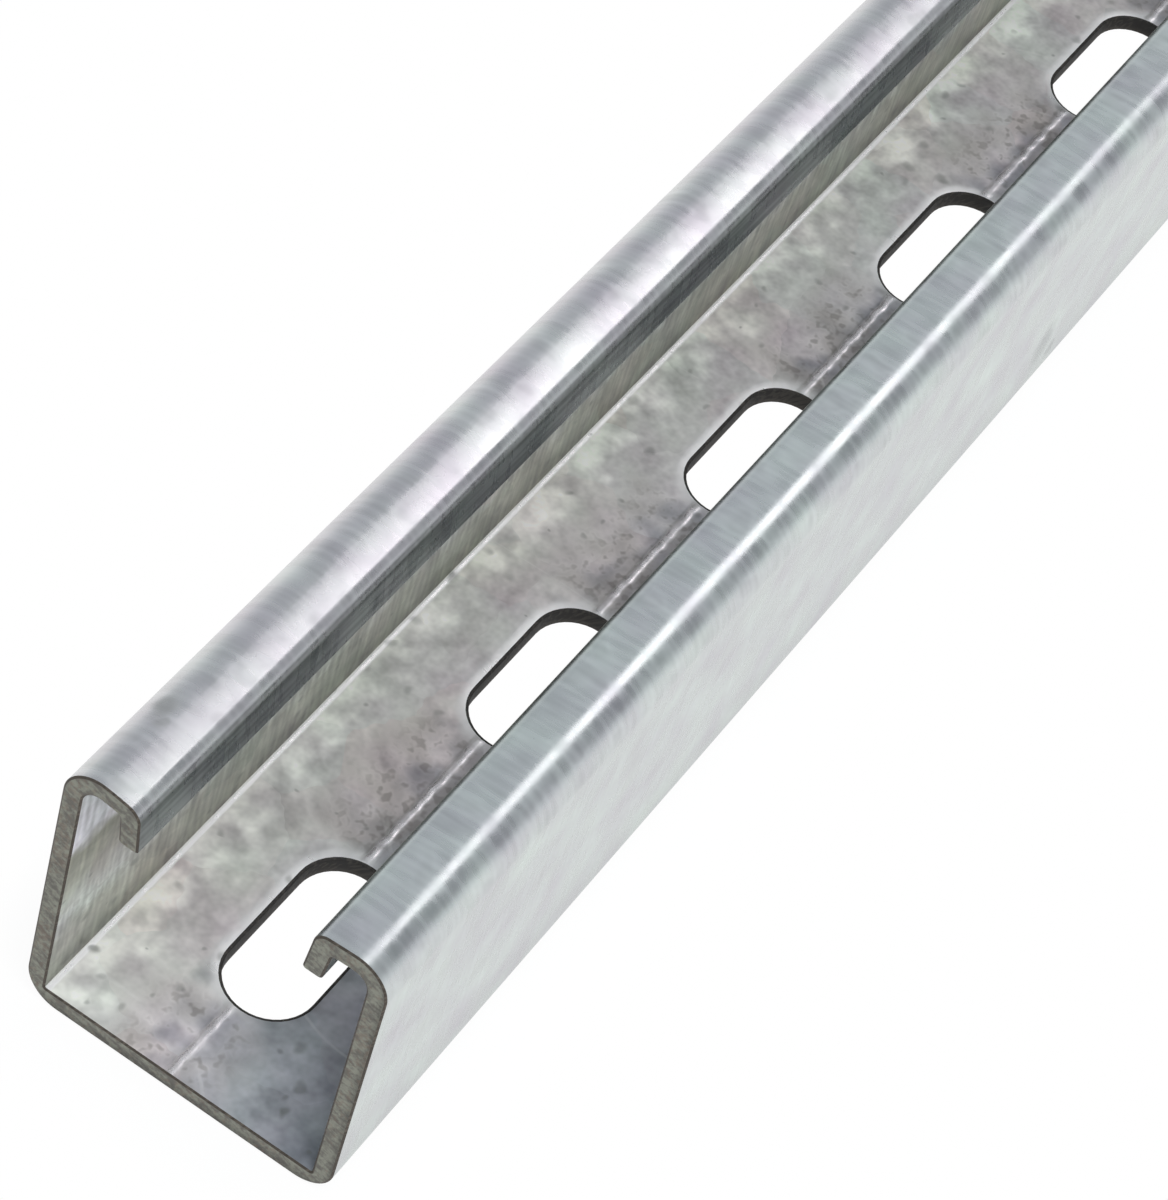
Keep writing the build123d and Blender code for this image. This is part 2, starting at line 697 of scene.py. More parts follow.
class FromSlot(Effect):
    """How far a place is from the outline of the nearest slot, and how far past its straight sides."""

    name = "from_slot"
    gives = ("Distance", "Beyond")

    def fill(self, recipe: Recipe, place: Feed, given: bpy.types.NodeOutputs) -> Sockets:
        """Add the nodes that measure from the slot's middle line, which repeats at every pitch."""
        made = StrutChannel()
        pitch, radius = made.slot_pitch / MM, made.slot_width / 2 / MM
        half = (made.slot_length - made.slot_width) / 2 / MM
        along, across, _ = recipe.parts(place)
        shifted = recipe.plus(along, made.length / 2 / MM)
        run = recipe.minus(recipe.maths("MODULO", shifted, pitch), made.first_slot / MM)
        beyond = recipe.minus(recipe.maths("ABSOLUTE", run), half)
        past = recipe.most(beyond, 0.0)
        squares = recipe.plus(recipe.times(past, past), recipe.times(across, across))
        return {"Distance": recipe.minus(recipe.maths("SQRT", squares), radius), "Beyond": beyond}


@dataclass(frozen=True)
class Finish:
    """A finish of the channel, as one material."""

    name: str

    def looks(self, recipe: Recipe) -> Feeds:
        """Return what each input of the shader is given.

        Args:
            recipe: The material's tree.

        Returns:
            A socket or a plain value for each input by name.
        """
        raise NotImplementedError

    def material(self) -> bpy.types.Material:
        """Return the finish's material.

        Returns:
            A new material with the finish's nodes.
        """
        made = bpy.data.materials.new(self.name)
        made.use_nodes = True
        recipe = Recipe(made.node_tree)
        recipe.feed(made.node_tree.nodes["Principled BSDF"], self.looks(recipe))
        return made


@dataclass(frozen=True)
class Mark:
    """One scuff or stain that is put on the zinc at a given place: its middle and its half sizes."""

    middle: Tone
    reach: Tone
    strength: float


@dataclass(frozen=True)
class Regions:
    """How far each region of the section reaches: across from the middle plane, or up from the underside."""

    trough_side: Span = (19.0, 19.8)
    trough_bottom: Span = (0.8, 1.6)
    trough_top: Span = (39.8, 39.0)
    leg_side: Span = (13.3, 13.6)
    leg_bottom: Span = (33.0, 33.5)
    leg_top: Span = (40.55, 39.55)
    leg_tilt: float = 0.05
    floor_top: Span = (2.7, 2.56)
    left_lip_side: Span = (8.0, 12.0)


@dataclass(frozen=True)
class MiddleRidgeHighlight:
    """The raised line along the middle of the base between the slots, painted near white as a highlight, and
    the painted shadow beside it.
    """

    across: float = 1.1
    width: Span = (0.28, 0.7)
    foot: Span = (0.1, 0.9)
    height: float = 0.08
    height_share: float = 0.9
    wander: float = 0.3
    beyond_slot: Span = (5.6, 6.4)
    faint: Span = (-0.25, 0.1)
    faintest: float = 0.6
    share: float = 0.95
    # Painted highlight along the raised line.
    colour: Tone = (0.95, 0.91, 0.92)
    # Painted shadow beside the raised line, on its -Y side.
    ridge_shadow_across: float = -0.6
    ridge_shadow_width: Span = (0.4, 1.3)
    ridge_shadow_share: float = 0.15
    ridge_shadow_colour: Tone = (0.2, 0.21, 0.24)


@dataclass(frozen=True)
class BendHighlight:
    """The line along the base where the left wall's bend begins, painted near white as a highlight."""

    starts: Span = (17.1, 17.6)
    wander: float = 0.25
    rises_from: float = 17.4
    slope: float = 0.27
    polished_across: float = 17.7
    polished_width: Span = (0.08, 0.25)
    polish: float = 0.8


@dataclass(frozen=True)
class SlotRimHighlight:
    """The zinc that the punch pressed down round the slots, painted near white on their +Y side as a
    highlight.
    """

    reach: Span = (2.4, 0.6)
    ragged: float = 1.2
    side: Span = (-4.0, 3.0)
    share: float = 0.75
    polish: float = 0.5
    # The painted highlight's colour, which the bend line takes too.
    colour: Tone = (0.93, 0.93, 0.92)


@dataclass(frozen=True)
class Mottle:
    """How much the zinc is lightened and darkened, as shares of its colour: by each unevenness, by painted
    shade on the right lip's rounded inner edge and on the outer faces towards the floor, and along the left
    edge.
    """

    outer_uneven: float = 0.3
    outer_chatter: float = 0.18
    outer_cloud: float = 0.2
    inner_uneven: float = 0.24
    inner_feather: float = 0.3
    inner_grains: float = 0.42
    inner_shade: float = 0.12
    wall_chatter: float = 0.52
    floor_chatter: float = -0.18
    green_cloud: float = 0.14
    smudge: float = -0.16
    smudge_starts: Span = (0.1, 0.28)
    smudge_up: Span = (36.0, 40.0)
    drawn: float = 0.2
    drawn_starts: Span = (0.3, 0.7)
    # Painted shade on the right lip's rounded inner edge, with the rest of the lip's top made a little
    # lighter.
    nose_shade: Span = (0.08, -0.42)
    nose_out: Span = (-11.9, -11.1)
    nose_in: Span = (-10.0, -10.6)
    nose_up: Span = (37.0, 39.0)
    left_edge: float = 0.1
    left_edge_side: Span = (18.5, 20.4)
    # Painted shade: the outer faces darken towards the floor.
    low: float = 0.86
    floor_shade_up: Span = (1.0, 15.0)


@dataclass(frozen=True)
class Dirt:
    """Stains, pits, scuffs and scratches on the zinc, with their places, strengths and colours."""

    floor_across: float = 2.5
    floor_width: Span = (2.0, 9.5)
    beyond_slot: Span = (5.5, 9.0)
    wall_up: float = 12.0
    wall_width: Span = (3.0, 8.5)
    haze: float = 0.5
    haze_colour: Tone = (0.42, 0.375, 0.365)
    floor_dirt: float = 0.5
    wall_dirt: float = 0.3
    colour: Tone = (0.14, 0.125, 0.11)
    pits: float = 0.42
    scuffs: float = 0.65
    scuff_edge: Span = (0.3, 1.2)
    pit_colour: Tone = (0.09, 0.10, 0.09)
    scratches: float = 0.2
    scratch_colour: Tone = (0.85, 0.85, 0.83)


@dataclass(frozen=True)
class ZincMap:
    """What the zinc's colour, gloss and relief share: places, masks of the regions, noises and effects."""

    place: Socket
    strip: Socket
    across: Socket
    up: Socket
    trough: Socket
    shaded_leg: Socket
    inside: Socket
    floor: Socket
    run: Socket
    drift: Socket
    cloud: Socket
    frayed: Socket
    lumpy: Socket
    uneven: Socket
    chatter: Socket
    skin: Sockets
    slot: Sockets
    grime: Sockets


@dataclass(frozen=True)
class GalvanisedZinc(Finish):
    """Weathered zinc of a dipped channel: brighter on its outer faces, duller and stained inside, with
    painted shade and highlights inside the channel and on the lips, and painted shade low on its outer faces.
    """

    name: str = "galvanised_zinc"
    outer: Tone = (0.59, 0.62, 0.62)
    # Painted highlight: the left lip is painted lighter and more lilac than the rest of the outer zinc.
    lit_left_lip: Tone = (0.64, 0.635, 0.65)
    # Painted shade: the left lip's strip edge, which faces the mouth, is painted dark.
    shaded_leg: Tone = (0.31, 0.335, 0.325)
    warm: Tone = (1.04, 0.99, 0.985)
    cool: Tone = (0.96, 1.0, 1.0)
    tinted: float = 0.9
    # Painted shade and light across the base, over its own grey-green and violet tints: darkest towards -Y as
    # the shadow under the right lip, lighter on the +Y half, and near white at the left bend as a painted
    # highlight.
    shaded_across_base: Stops = (
        (-18.0, (0.25, 0.27, 0.30)),
        (-9.0, (0.37, 0.385, 0.42)),
        (-0.5, (0.47, 0.475, 0.50)),
        (6.0, (0.70, 0.68, 0.675)),
        (12.0, (0.615, 0.61, 0.595)),
        (18.0, (0.86, 0.87, 0.82)),
    )
    base_waver: float = 12.0
    # Painted shade and light up the inner walls: darker towards the bottom, a dark band at 22 to 26 mm as the
    # shadow under the left lip, and a painted lilac highlight in the hollow under the lip at the top.
    shaded_up_wall: Stops = (
        (3.5, (0.24, 0.245, 0.205)),
        (9.0, (0.43, 0.44, 0.385)),
        (14.0, (0.62, 0.64, 0.615)),
        (22.0, (0.42, 0.42, 0.355)),
        (26.0, (0.32, 0.325, 0.26)),
        (28.0, (0.72, 0.71, 0.75)),
    )
    wall_waver: float = 4.0
    fray: float = 0.9
    metallic: Span = (0.92, 0.4)
    leg_metallic: float = -0.2
    bright_metallic: float = 0.4
    roughness: Span = (0.28, 0.4)
    uneven_roughness: float = 0.2
    chatter_roughness: float = 0.1
    bright_roughness: float = -0.14
    regions: Regions = Regions()
    middle: MiddleRidgeHighlight = MiddleRidgeHighlight()
    bend: BendHighlight = BendHighlight()
    rim: SlotRimHighlight = SlotRimHighlight()
    mottle: Mottle = Mottle()
    dirt: Dirt = Dirt()
    marks: tuple[Mark, ...] = (
        Mark((-487.0, 17.6, 40.8), (2.6, 1.5, 3.0), 0.8),
        Mark((-489.3, 16.6, 40.8), (1.2, 0.8, 3.0), 0.7),
        Mark((-492.3, 17.1, 2.5), (0.7, 0.6, 1.0), 1.0),
        Mark((-490.0, 7.0, 2.5), (0.6, 0.7, 1.0), 0.7),
        Mark((-496.2, 10.2, 2.5), (0.7, 0.6, 1.0), 0.6),
        Mark((-492.0, -10.9, 2.5), (0.9, 0.8, 1.0), 0.8),
        Mark((-495.7, -11.4, 2.5), (0.8, 0.7, 1.0), 0.9),
        Mark((-340.0, -20.6, 11.0), (3.0, 2.0, 4.5), 0.55),
        Mark((-335.5, -20.6, 7.0), (1.6, 2.0, 1.6), 0.5),
        Mark((-419.6, 17.6, 2.5), (1.2, 0.7, 1.0), 1.0),
        Mark((-464.5, 11.4, 2.5), (4.5, 2.0, 1.0), 0.35),
    )

    def survey(self, recipe: Recipe) -> ZincMap:
        """Lay out the regions, noises and effects.

        Args:
            recipe: The material's tree.

        Returns:
            The sockets that the rest of the finish reads.
        """
        zone = self.regions
        place = recipe.place()
        strip = recipe.unrolled(place)
        _, across, up = recipe.parts(place)
        side = recipe.maths("ABSOLUTE", across)
        trough = recipe.fade(side, *zone.trough_side, 1.0, 0.0)
        trough = recipe.times(trough, recipe.fade(up, *zone.trough_bottom))
        shaded_leg = recipe.times(recipe.fade(side, *zone.leg_side, 1.0, 0.0), recipe.fade(up, *zone.leg_bottom))
        tilted = recipe.plus(up, recipe.times(across, zone.leg_tilt))
        shaded_leg = recipe.times(shaded_leg, recipe.fade(tilted, *zone.leg_top))
        inside = recipe.times(trough, recipe.fade(up, *zone.trough_top), recipe.rest(shaded_leg))
        floor = recipe.times(trough, recipe.fade(up, *zone.floor_top))
        cloud = recipe.cloud(strip, 0.6)
        skin = recipe.effect(RolledSkin(), place=strip)
        slot = recipe.effect(FromSlot(), place=place)
        return ZincMap(
            place=place,
            strip=strip,
            across=across,
            up=up,
            trough=trough,
            shaded_leg=shaded_leg,
            inside=inside,
            floor=floor,
            run=recipe.times(recipe.fade(slot["Beyond"], *self.middle.beyond_slot), floor),
            drift=recipe.plus(across, recipe.times(self.middle.wander, skin["Grain"])),
            cloud=cloud,
            frayed=recipe.push(strip, cloud, self.fray),
            lumpy=recipe.centred(recipe.parts(cloud)[0]),
            uneven=recipe.centred(recipe.noise(strip, 0.2, detail=1.0, roughness=0.65)),
            chatter=recipe.centred(recipe.noise(strip, 1.3, stretch=(1.0, 0.12, 1.0))),
            skin=skin,
            slot=slot,
            grime=recipe.effect(Grime(), place=strip, level=0.52, grain=0.75),
        )

    def ground(self, recipe: Recipe, at: ZincMap, spangle: Sockets) -> Socket:
        """Return the zinc's colour in each region, tinted by its crystals, with the painted shade and light
        of the base, the inner walls, the left lip and its strip edge.

        Args:
            recipe: The material's tree.
            at: The regions and noises.
            spangle: The crystals.

        Returns:
            The colour.
        """
        across = recipe.plus(at.across, recipe.times(at.uneven, self.base_waver))
        up = recipe.plus(at.up, recipe.times(at.uneven, self.wall_waver))
        # The base and the inner walls take their painted shade and light from these two ramps.
        inner = recipe.blend(at.floor, recipe.tones(up, self.shaded_up_wall), recipe.tones(across, self.shaded_across_base))
        # Painted highlight on the left lip.
        shell = recipe.blend(recipe.fade(at.across, *self.regions.left_lip_side), self.outer, self.lit_left_lip)
        # The left lip's strip edge takes its painted shade.
        shell = recipe.blend(at.shaded_leg, shell, self.shaded_leg)
        colour = recipe.blend(at.inside, shell, inner)
        tint = recipe.blend(spangle["Tint"], self.warm, self.cool)
        return recipe.blend(recipe.times(at.inside, self.tinted), colour, tint, "MULTIPLY")

    def mottled(self, recipe: Recipe, at: ZincMap, spangle: Sockets, colour: Feed) -> Socket:
        """Return the colour made lighter and darker from place to place, with painted shade on the right
        lip's rounded inner edge and on the outer faces towards the floor.

        Args:
            recipe: The material's tree.
            at: The regions and noises.
            spangle: The crystals.
            colour: The even colour.

        Returns:
            The uneven colour.
        """
        by = self.mottle
        clouded = recipe.centred(at.grime["Cloud"])
        outside = recipe.weighed(
            (by.outer_uneven, at.uneven), (by.outer_chatter, at.chatter), (by.outer_cloud, clouded)
        )
        within = recipe.weighed(
            (by.inner_uneven, at.uneven),
            (by.inner_feather, recipe.centred(spangle["Feather"])),
            (by.inner_grains, recipe.centred(at.grime["Grains"])),
            (recipe.slide(at.floor, by.wall_chatter, by.floor_chatter), at.chatter),
            (by.inner_shade, recipe.centred(spangle["Shade"])),
        )
        smudge = recipe.fade(at.uneven, *by.smudge_starts, 0.0, by.smudge)
        smudge = recipe.times(smudge, recipe.fade(at.up, *by.smudge_up))
        # Painted shade on the right lip's rounded inner edge.
        nose_shade = recipe.fade(at.across, *by.nose_out, *by.nose_shade)
        nose_shade = recipe.times(nose_shade, recipe.fade(at.across, *by.nose_in), recipe.fade(at.up, *by.nose_up))
        edge = recipe.fade(at.across, *by.left_edge_side, 0.0, by.left_edge)
        drawn = recipe.noise(at.strip, 1.0, stretch=(0.05, 1.3, 1.0))
        drawn = recipe.times(at.shaded_leg, recipe.fade(drawn, *by.drawn_starts, -by.drawn, by.drawn))
        value = recipe.plus(1.0, outside, smudge, recipe.times(at.inside, within), nose_shade, edge, drawn)
        # Painted shade on the outer faces towards the floor.
        value = recipe.times(value, recipe.most(recipe.fade(at.up, *by.floor_shade_up, by.low, 1.0), at.trough))
        green = recipe.plus(value, recipe.times(clouded, by.green_cloud))
        return recipe.blend(1.0, colour, recipe.joined(value, green, value), "MULTIPLY")

    def brightened(self, recipe: Recipe, at: ZincMap, colour: Feed) -> tuple[Socket, Socket]:
        """Paint highlights on the pressed rims of the slots, on the raised middle line and on the bend line,
        and a shadow beside the middle line.

        Args:
            recipe: The material's tree.
            at: The regions and noises.
            colour: The zinc's colour.

        Returns:
            The colour with them, and a mask of where the zinc is polished.
        """
        middle, bend = self.middle, self.bend
        # Painted highlight on the slots' pressed rims, on their +Y side.
        ragged = recipe.plus(at.slot["Distance"], recipe.times(at.lumpy, self.rim.ragged))
        rim = recipe.fade(ragged, *self.rim.reach)
        rim = recipe.times(rim, recipe.fade(at.across, *self.rim.side), at.floor)
        # Painted highlight along the raised middle line.
        ridge_highlight = recipe.times(recipe.band(at.drift, middle.across, *middle.width), at.run)
        ridge_highlight = recipe.times(ridge_highlight, recipe.fade(at.lumpy, *middle.faint, middle.faintest, 1.0))
        # Painted shadow beside the raised middle line.
        ridge_shadow = recipe.times(recipe.band(at.drift, middle.ridge_shadow_across, *middle.ridge_shadow_width), at.run)
        # Painted highlight along the bend line.
        wavy = recipe.plus(at.across, recipe.times(at.lumpy, bend.wander))
        edge = recipe.times(recipe.fade(wavy, *bend.starts), at.floor)
        polished = recipe.band(at.across, bend.polished_across, *bend.polished_width)
        polished = recipe.times(polished, at.floor, bend.polish)
        colour = recipe.blend(recipe.times(ridge_shadow, middle.ridge_shadow_share), colour, middle.ridge_shadow_colour)
        colour = recipe.blend(recipe.times(ridge_highlight, middle.share), colour, middle.colour)
        # Painted highlights on the slots' rims and along the bend line.
        colour = recipe.blend(recipe.most(recipe.times(rim, self.rim.share), edge), colour, self.rim.colour)
        return colour, recipe.most(ridge_highlight, polished, recipe.times(rim, self.rim.polish))

    def scuffs(self, recipe: Recipe, ragged: Feed) -> Socket:
        """Return one mask of all the marks.

        Args:
            recipe: The material's tree.
            ragged: The place, pushed about so that the marks' edges are ragged.

        Returns:
            The mask.
        """
        total = 0.0
        for mark in self.marks:
            feeds = {"Vector": ragged, "Location": mark.middle, "Scale": mark.reach}
            local = recipe.node("Mapping", feeds, vector_type="TEXTURE").outputs[0]
            away = recipe.node("VectorMath", {0: local}, operation="LENGTH").outputs["Value"]
            total = recipe.most(recipe.fade(away, *self.dirt.scuff_edge, mark.strength, 0.0), total)
        return total

    def dirtied(self, recipe: Recipe, at: ZincMap, colour: Feed, bright: Feed) -> tuple[Socket, Socket]:
        """Add the stains, pits, scuffs and scratches.

        Args:
            recipe: The material's tree.
            at: The regions and noises.
            colour: The clean colour.
            bright: The mask of where the zinc is polished.

        Returns:
            The dirty colour, and a mask of the pits and scuffs.
        """
        dirt = self.dirt
        stained = recipe.times(at.floor, recipe.band(at.across, dirt.floor_across, *dirt.floor_width))
        between = recipe.fade(at.slot["Beyond"], *dirt.beyond_slot)
        stained = recipe.times(stained, between, recipe.rest(bright))
        sided = recipe.times(at.inside, recipe.band(at.up, dirt.wall_up, *dirt.wall_width))
        colour = recipe.blend(recipe.times(at.grime["Haze"], stained, dirt.haze), colour, dirt.haze_colour)
        stained = recipe.plus(recipe.times(stained, dirt.floor_dirt), recipe.times(sided, dirt.wall_dirt))
        colour = recipe.blend(recipe.times(at.grime["Mask"], stained), colour, dirt.colour)
        pits = recipe.times(recipe.effect(Specks(), place=at.frayed)["Mask"], at.inside, dirt.pits)
        scuffs = self.scuffs(recipe, recipe.push(at.place, at.cloud, self.fray))
        dark = recipe.most(pits, recipe.times(scuffs, dirt.scuffs))
        colour = recipe.blend(dark, colour, dirt.pit_colour)
        scratch = recipe.times(recipe.effect(HairLines(), place=at.strip)["Mask"], at.floor, dirt.scratches)
        return recipe.blend(scratch, colour, dirt.scratch_colour), dark

    def height(self, recipe: Recipe, at: ZincMap) -> Socket:
        """Return how far the skin stands up: its own unevenness, the middle line and the bend line's slope.

        Args:
            recipe: The material's tree.
            at: The regions and noises.

        Returns:
            The height.
        """
        middle, bend = self.middle, self.bend
        raised = recipe.times(recipe.band(at.drift, middle.across, *middle.foot), at.run, middle.height)
        lumps = recipe.plus(middle.height_share, recipe.times(middle.height_share, at.skin["Grain"]))
        past = recipe.most(recipe.plus(at.across, -bend.rises_from), 0.0)
        kerb = recipe.times(past, at.floor, bend.slope)
        return recipe.plus(at.skin["Height"], recipe.times(raised, lumps), kerb)

    def looks(self, recipe: Recipe) -> Feeds:
        """Add the nodes of the zinc's colour, gloss and relief."""
        at = self.survey(recipe)
        spangle = recipe.effect(Spangle(), place=at.frayed)
        colour = self.mottled(recipe, at, spangle, self.ground(recipe, at, spangle))
        colour, bright = self.brightened(recipe, at, colour)
        colour, dark = self.dirtied(recipe, at, colour, bright)
        rough = recipe.plus(
            recipe.slide(at.inside, *self.roughness),
            recipe.times(self.uneven_roughness, at.uneven),
            recipe.times(self.chatter_roughness, at.chatter),
            recipe.times(self.bright_roughness, bright),
        )
        metal = recipe.plus(recipe.slide(at.inside, *self.metallic), recipe.times(at.shaded_leg, self.leg_metallic))
        metal = recipe.times(metal, recipe.rest(dark))
        metal = recipe.plus(metal, recipe.times(bright, self.bright_metallic))
        normal = recipe.relief(self.height(recipe, at))
        return {"Base Color": colour, "Roughness": rough, "Metallic": metal, "Normal": normal}


@dataclass(frozen=True)
class SawnSteel(Finish):
    """Bare steel where the length was sawn off, with the blade's lines across it."""

    name: str = "sawn_steel"
    bright: Tone = (0.225, 0.23, 0.19)
    dull: Tone = (0.12, 0.115, 0.1)
    rust: Tone = (0.17, 0.115, 0.085)
    rusty: float = 0.35
    metallic: float = 0.55
    roughness: float = 0.45
    sandy_roughness: float = 0.25
    depth: float = 0.02
    slant: float = math.radians(-20.0)
    bow: float = 1.5
    teeth_share: float = 0.36
    sand_share: float = 0.32
    blotch_share: float = 0.32
    contrast: Span = (0.38, 0.62)
    underside: Span = (0.0, 2.0)
    underside_shade: float = 0.45
    right_edge: Span = (-20.6, -19.4)
    right_edge_shade: float = 0.6

    def looks(self, recipe: Recipe) -> Feeds:
        """Add the nodes of the blade's lines, the sandy grain, the blotches and the rust."""
        _, across, up = recipe.parts(recipe.place())
        face = recipe.joined(across, up, 0.0)
        bowed = recipe.push(recipe.turned(face, self.slant), recipe.cloud(face, 0.05), self.bow)
        teeth = recipe.noise(bowed, 1.0, detail=2.0, roughness=0.6, stretch=(0.35, 1.7, 1.0))
        sand = recipe.noise(face, 1.8, detail=2.0, roughness=0.7)
        blotch = recipe.noise(face, 0.6, detail=1.0, roughness=0.6)
        shares = (self.teeth_share, teeth), (self.sand_share, sand), (self.blotch_share, blotch)
        mixed = recipe.weighed(*shares)
        colour = recipe.blend(recipe.fade(mixed, *self.contrast), self.dull, self.bright)
        shaded = recipe.maths(
            "MINIMUM",
            recipe.fade(up, *self.underside, self.underside_shade, 1.0),
            recipe.fade(across, *self.right_edge, self.right_edge_shade, 1.0),
        )
        colour = recipe.blend(1.0, colour, recipe.joined(shaded, shaded, shaded), "MULTIPLY")
        rust = recipe.effect(Grime(), place=face, level=0.56, grain=1.4)["Mask"]
        smooth = recipe.minus(NOISE_MIDDLE, sand)
        return {
            "Base Color": recipe.blend(recipe.times(rust, self.rusty), colour, self.rust),
            "Roughness": recipe.plus(self.roughness, recipe.times(self.sandy_roughness, smooth)),
            "Metallic": self.metallic,
            "Normal": recipe.relief(recipe.times(recipe.plus(teeth, sand), self.depth)),
        }


@dataclass(frozen=True)
class ShadedEdge(Finish):
    """Edge metal painted near black as shade: torn by the punch through the slots, or left as a burr round
    the sawn faces.
    """

    name: str
    dark: Tone
    torn: Tone
    metallic: float
    roughness: float
    breaks_at: float
    break_height: float = 1.0
    specular: float = 0.25
    drawn_share: float = 0.6
    spot_share: float = 0.5
    break_share: float = 0.5
    drawn_roughness: float = 0.3
    depth: float = 0.03

    def looks(self, recipe: Recipe) -> Feeds:
        """Add the nodes of the drawn streaks, the spots and the broken lower part."""
        place = recipe.place()
        drawn = recipe.noise(place, 1.0, detail=2.0, roughness=0.6, stretch=(1.6, 1.6, 0.2), flat=False)
        spots = recipe.effect(Grime(), place=recipe.unrolled(place), level=0.5, grain=1.6)["Mask"]
        broken = recipe.fade(recipe.parts(place)[2], self.breaks_at, self.breaks_at - self.break_height)
        shares = (self.drawn_share, drawn), (self.spot_share, spots), (self.break_share, broken)
        streaks = recipe.times(self.drawn_roughness, recipe.centred(drawn))
        return {
            "Base Color": recipe.blend(recipe.weighed(*shares), self.dark, self.torn),
            "Roughness": recipe.plus(self.roughness, streaks),
            "Metallic": self.metallic,
            "Specular IOR Level": self.specular,
            "Normal": recipe.relief(recipe.times(drawn, self.depth)),
        }


@dataclass(frozen=True)
class Lamp:
    """A square soft lamp: the way to it, its side and its distance in metres, and its power in watts."""

    name: str
    towards: Tone
    size: float
    power: float
    colour: Tone = (1.0, 1.0, 1.0)
    away: float = 2.0
    shines_on: Tone = (-0.4, 0.0, 0.0)

    def build(self) -> None:
        """Hang the lamp so that it shines on the middle of what the camera sees."""
        light = bpy.data.lights.new(self.name, "AREA")
        light.size = self.size
        light.energy = self.power
        light.color = self.colour
        lamp = bpy.data.objects.new(self.name, light)
        way = Vector(self.towards).normalized()
        lamp.location = Vector(self.shines_on) + way * self.away
        lamp.rotation_mode = "QUATERNION"
        lamp.rotation_quaternion = (-way).to_track_quat("-Z", "Y")
        bpy.context.scene.collection.objects.link(lamp)


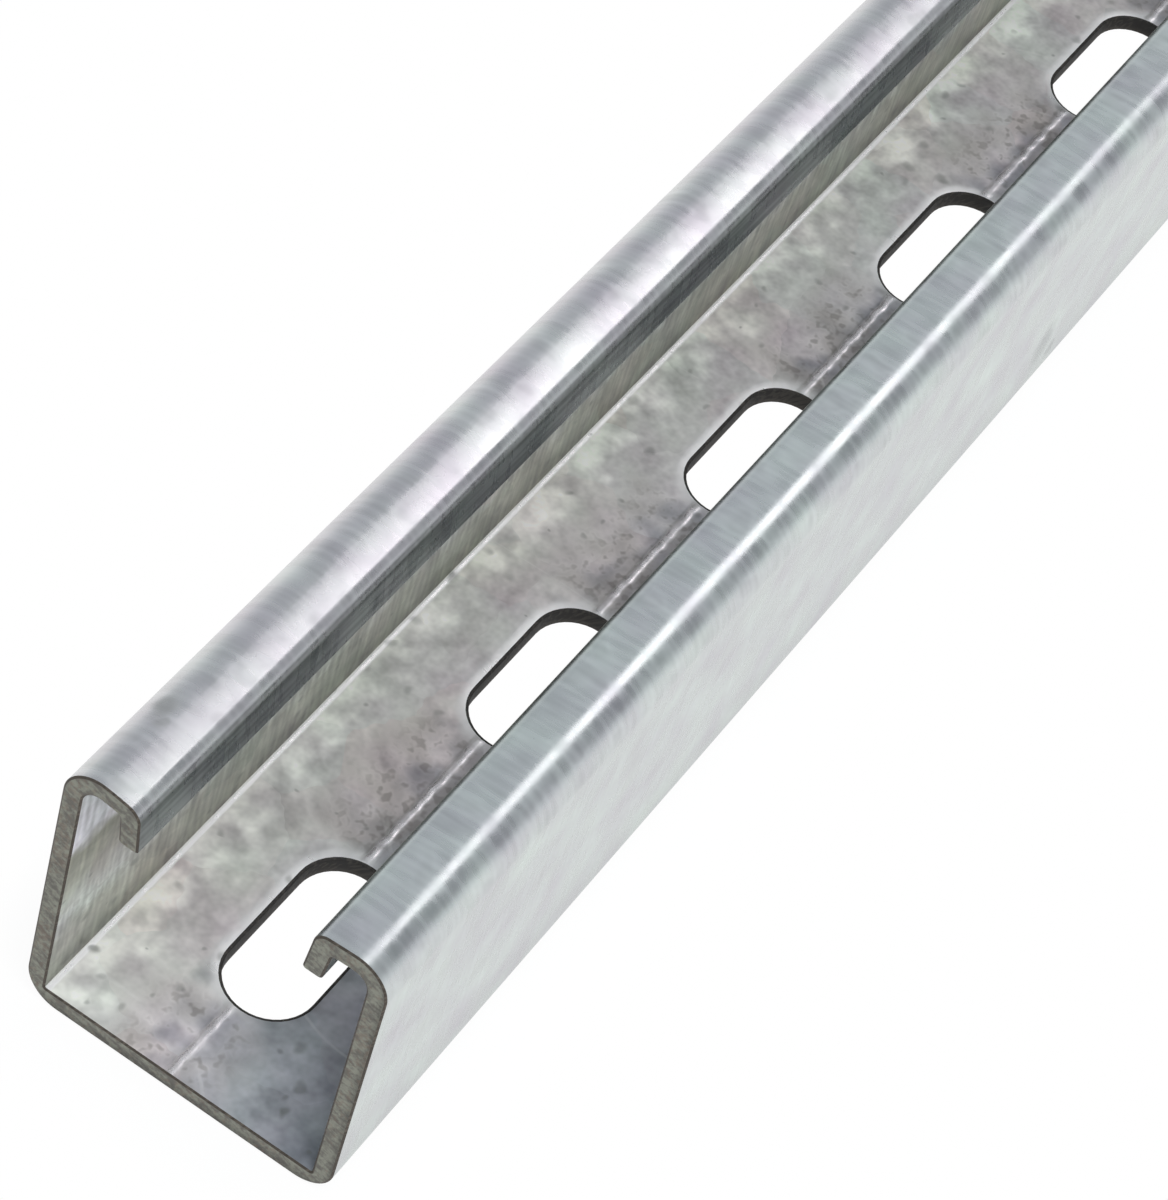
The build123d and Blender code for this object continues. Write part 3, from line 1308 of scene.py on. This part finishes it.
@dataclass(frozen=True)
class Studio:
    """The floor, the lamps and the sky of a plain studio."""

    floor_radius: float = 6.0
    floor_segments: int = 96
    floor_drop: float = 0.3 * MM
    floor_colour: Tone = (0.9, 0.9, 0.9)
    floor_glow: Span = (0.93, 1.01)
    floor_shine: float = 0.91
    shadow_past: float = 0.479
    shadow_starts: float = 0.018
    shadow_ends: Span = (0.024, 0.034)
    sky_level: Tone = (0.8, 0.83, 0.84)
    sky_above: Tone = (0.48, 0.51, 0.54)
    sky_height: float = 0.5
    dark_corner: Tone = (0.61, -0.57, 0.55)
    dark_reach: Span = (0.88, 0.98)
    darkness: float = 0.36
    lamps: tuple[Lamp, ...] = (
        Lamp("key", (0.63, -0.14, 0.76), size=0.65, power=2.4, colour=(1.0, 0.955, 0.97)),
        Lamp("fill", (-0.35, -0.33, 0.88), size=1.0, power=28.0),
    )

    def white(self) -> bpy.types.Material:
        """Return the floor's material.

        Returns:
            White that the camera sees as pure white, but for a soft shadow close round the channel.
        """
        made = bpy.data.materials.new("white_floor")
        made.use_nodes = True
        made.cycles.emission_sampling = "NONE"
        recipe = Recipe(made.node_tree)
        recipe.tree.nodes.clear()
        matt = recipe.node("BsdfDiffuse", {"Color": (*self.floor_colour, 1)}).outputs[0]
        path = recipe.node("LightPath").outputs
        other = recipe.most(path["Is Glossy Ray"], path["Is Transmission Ray"])
        along, across, _ = recipe.parts(recipe.node("TexCoord").outputs["Object"])
        past = recipe.plus(recipe.maths("ABSOLUTE", along), -self.shadow_past)
        away = recipe.most(recipe.maths("ABSOLUTE", across), past)
        outer = recipe.fade(away, *self.shadow_ends, *self.floor_glow)
        inner = recipe.maths("LESS_THAN", away, self.shadow_starts)
        seen = recipe.times(path["Is Camera Ray"], recipe.maths("MINIMUM", recipe.most(outer, inner), 1.0))
        strength = recipe.most(path["Is Camera Ray"], recipe.times(other, self.floor_shine))
        glow = recipe.node("Emission", {"Color": (1, 1, 1, 1), "Strength": strength}).outputs[0]
        shader = recipe.node("MixShader", {"Fac": recipe.most(seen, other), 1: matt, 2: glow}).outputs[0]
        recipe.node("OutputMaterial", {"Surface": shader})
        return made

    def floor(self) -> None:
        """Add a white floor that keeps a soft shadow."""
        bm = bmesh.new()
        bmesh.ops.create_circle(bm, cap_ends=True, segments=self.floor_segments, radius=self.floor_radius)
        mesh = bpy.data.meshes.new("floor")
        bm.to_mesh(mesh)
        bm.free()
        mesh.transform(Matrix.Translation((0, 0, -self.floor_drop)))
        mesh.materials.append(self.white())
        floor = bpy.data.objects.new("floor", mesh)
        bpy.context.scene.collection.objects.link(floor)

    def sky(self) -> None:
        """Fill the room with even light, pale at the level of the eye and greyer above."""
        world = bpy.data.worlds.new("studio")
        bpy.context.scene.world = world
        world.use_nodes = True
        recipe = Recipe(world.node_tree)
        where = recipe.node("TexCoord").outputs["Generated"]
        ramp = recipe.node("ValToRGB", {0: recipe.parts(where)[2]})
        low, high = ramp.color_ramp.elements
        high.position = self.sky_height
        low.color, high.color = (*self.sky_level, 1), (*self.sky_above, 1)
        corner = recipe.node("VectorMath", {0: where, 1: self.dark_corner}, operation="DOT_PRODUCT")
        share = recipe.fade(corner.outputs["Value"], *self.dark_reach, 0.0, self.darkness)
        dimmed = recipe.blend(share, ramp.outputs[0], (0.0, 0.0, 0.0))
        recipe.feed(world.node_tree.nodes["Background"], {"Color": dimmed})

    def build(self) -> None:
        """Add everything."""
        self.floor()
        self.sky()
        for lamp in self.lamps:
            lamp.build()


@dataclass(frozen=True)
class Viewpoint:
    """Where the photograph was taken from."""

    place: Tone = (-0.736561, -0.108632, 0.388187)
    target: Tone = (-0.409272, 0.004169, 0.0)
    roll: float = math.radians(18.347)
    lens: float = 127.148
    sensor_width: float = 36.0
    nearest: float = 0.01

    def build(self) -> None:
        """Add the camera."""
        view = bpy.data.cameras.new("camera")
        view.lens = self.lens
        view.sensor_width = self.sensor_width
        view.clip_start = self.nearest
        camera = bpy.data.objects.new("camera", view)
        aim = Vector(self.target) - Vector(self.place)
        camera.location = self.place
        camera.rotation_mode = "QUATERNION"
        camera.rotation_quaternion = aim.to_track_quat("-Z", "Y") @ Quaternion((0, 0, 1), self.roll)
        bpy.context.scene.collection.objects.link(camera)
        bpy.context.scene.camera = camera


# Painted shade: the slots' walls are near black, their torn lower part a little lighter.
SHADED_PUNCHED_EDGE = ShadedEdge(
    "shaded_punched_edge",
    dark=(0.026, 0.026, 0.027),
    torn=(0.085, 0.078, 0.07),
    metallic=0.2,
    roughness=0.7,
    breaks_at=1.2,
)
# Painted shade: the broken arris round the sawn faces is near black.
SHADED_SAWN_ARRIS = ShadedEdge(
    "shaded_sawn_arris",
    dark=(0.04, 0.034, 0.028),
    torn=(0.14, 0.12, 0.1),
    metallic=0.5,
    roughness=0.5,
    breaks_at=-1.0,
)


def main() -> None:
    """Build the channel, the studio and the camera."""
    logging.basicConfig(level=logging.INFO, format="%(name)s: %(message)s")
    bpy.context.scene.view_settings.view_transform = "Standard"
    Viewpoint().build()
    Studio().build()
    skins = [finish.material() for finish in (GalvanisedZinc(), SawnSteel(), SHADED_PUNCHED_EDGE, SHADED_SAWN_ARRIS)]
    piece = StrutChannel().build(skins)
    LOG.info("%s: %d vertices, %d faces", piece.name, len(piece.data.vertices), len(piece.data.polygons))


if __name__ == "__main__":
    main()
